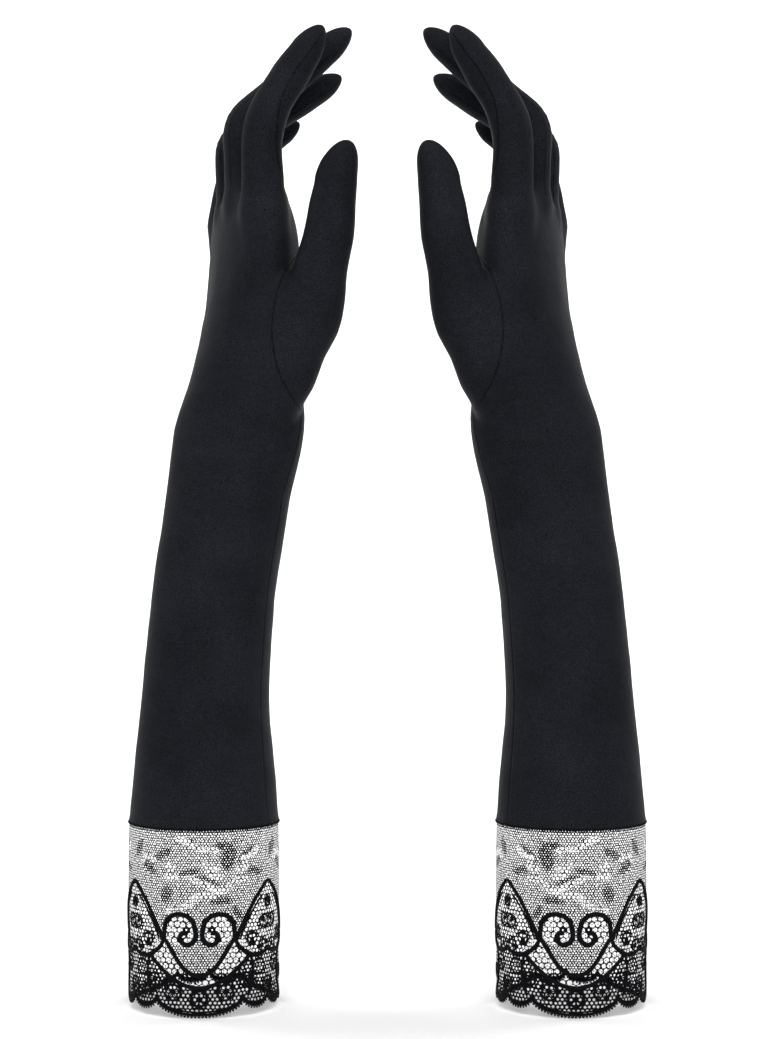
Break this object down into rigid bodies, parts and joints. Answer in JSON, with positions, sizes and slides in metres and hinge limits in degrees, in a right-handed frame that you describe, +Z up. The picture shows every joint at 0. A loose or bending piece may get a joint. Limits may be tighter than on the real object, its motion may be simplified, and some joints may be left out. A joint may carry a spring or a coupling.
{
  "type": "opera gloves",
  "caption": "Pair of elbow-length fitted satin gloves with sheer lace cuffs, worn shape, standing upright with softly curved fingers that bend at knuckles, thumb and wrist.",
  "frame": {"origin": "under the middle of the pair, at the height of the lowest lace edge", "axes": "+Z up along the arms to the fingertips, +X towards the right glove, +Y from the thumbs' side to the little fingers' side"},
  "size_m": [0.2396, 0.0921, 0.4483],
  "materials": {
    "satin": "black stretch satin with a soft sheen",
    "lace": "sheer black lace, matt thread",
    "seam_thread": "matt black thread"
  },
  "bodies": {
    "left_sleeve": {"left_lace_cuff": "lace", "left_cuff_seam": "seam_thread", "left_sleeve_back": "satin", "left_sleeve_palm": "satin", "left_wrist_fabric": "satin"},
    "left_hand": {"left_hand_back": "satin", "left_hand_palm": "satin", "left_knuckle_fabric": "satin", "left_thumb_base": "satin", "left_thumb_crease": "satin"},
    "left_index": {"left_index_back": "satin", "left_index_palm": "satin", "left_gusset_index_side": "satin"},
    "left_middle": {"left_middle_back": "satin", "left_middle_palm": "satin", "left_gusset_middle_front": "satin", "left_gusset_middle_side": "satin"},
    "left_ring": {"left_ring_back": "satin", "left_ring_palm": "satin", "left_gusset_ring_front": "satin", "left_gusset_ring_side": "satin"},
    "left_little": {"left_little_back": "satin", "left_little_palm": "satin", "left_gusset_little_front": "satin"},
    "left_thumb": {"left_thumb_stall": "satin"},
    "right_sleeve": {"right_lace_cuff": "lace", "right_cuff_seam": "seam_thread", "right_sleeve_back": "satin", "right_sleeve_palm": "satin", "right_wrist_fabric": "satin"},
    "right_hand": {"right_hand_back": "satin", "right_hand_palm": "satin", "right_knuckle_fabric": "satin", "right_thumb_base": "satin", "right_thumb_crease": "satin"},
    "right_index": {"right_index_back": "satin", "right_index_palm": "satin", "right_gusset_index_side": "satin"},
    "right_middle": {"right_middle_back": "satin", "right_middle_palm": "satin", "right_gusset_middle_front": "satin", "right_gusset_middle_side": "satin"},
    "right_ring": {"right_ring_back": "satin", "right_ring_palm": "satin", "right_gusset_ring_front": "satin", "right_gusset_ring_side": "satin"},
    "right_little": {"right_little_back": "satin", "right_little_palm": "satin", "right_gusset_little_front": "satin"},
    "right_thumb": {"right_thumb_stall": "satin"}
  },
  "joints": [
    {"name": "left_wrist_bend", "type": "hinge", "parent": "left_sleeve", "child": "left_hand", "pos_m": [-0.0705, 0.0097, 0.2545], "axis": [0, 1, 0], "range_deg": [-40, 10], "deforming": ["left_wrist_fabric"]},
    {"name": "left_index_curl", "type": "hinge", "parent": "left_hand", "child": "left_index", "pos_m": [-0.0561, -0.0173, 0.3679], "axis": [0, 1, 0], "range_deg": [-20, 55], "deforming": ["left_knuckle_fabric"]},
    {"name": "left_middle_curl", "type": "hinge", "parent": "left_hand", "child": "left_middle", "pos_m": [-0.0657, 0.0007, 0.3743], "axis": [0, 1, 0], "range_deg": [-20, 55]},
    {"name": "left_ring_curl", "type": "hinge", "parent": "left_hand", "child": "left_ring", "pos_m": [-0.072, 0.0187, 0.3707], "axis": [0, 1, 0], "range_deg": [-20, 55]},
    {"name": "left_little_curl", "type": "hinge", "parent": "left_hand", "child": "left_little", "pos_m": [-0.0787, 0.03526, 0.3679], "axis": [0, 1, 0], "range_deg": [-20, 55]},
    {"name": "left_thumb_swing", "type": "hinge", "parent": "left_hand", "child": "left_thumb", "pos_m": [-0.0275, -0.0288, 0.343], "axis": [0, 1, 0], "range_deg": [-12, 20], "deforming": ["left_thumb_crease"]},
    {"name": "right_wrist_bend", "type": "hinge", "parent": "right_sleeve", "child": "right_hand", "pos_m": [0.0705, 0.0097, 0.2545], "axis": [0, -1, 0], "range_deg": [-40, 10], "deforming": ["right_wrist_fabric"]},
    {"name": "right_index_curl", "type": "hinge", "parent": "right_hand", "child": "right_index", "pos_m": [0.0561, -0.0173, 0.3679], "axis": [0, -1, 0], "range_deg": [-20, 55], "deforming": ["right_knuckle_fabric"]},
    {"name": "right_middle_curl", "type": "hinge", "parent": "right_hand", "child": "right_middle", "pos_m": [0.0657, 0.0007, 0.3743], "axis": [0, -1, 0], "range_deg": [-20, 55]},
    {"name": "right_ring_curl", "type": "hinge", "parent": "right_hand", "child": "right_ring", "pos_m": [0.072, 0.0187, 0.3707], "axis": [0, -1, 0], "range_deg": [-20, 55]},
    {"name": "right_little_curl", "type": "hinge", "parent": "right_hand", "child": "right_little", "pos_m": [0.0787, 0.03526, 0.3679], "axis": [0, -1, 0], "range_deg": [-20, 55]},
    {"name": "right_thumb_swing", "type": "hinge", "parent": "right_hand", "child": "right_thumb", "pos_m": [0.0275, -0.0288, 0.343], "axis": [0, -1, 0], "range_deg": [-12, 20], "deforming": ["right_thumb_crease"]},
    {"name": "right_glove_slide", "type": "slide", "parent": "left_sleeve", "child": "right_sleeve", "axis": [1, 0, 0], "range_m": [0, 0.15]}
  ]
}
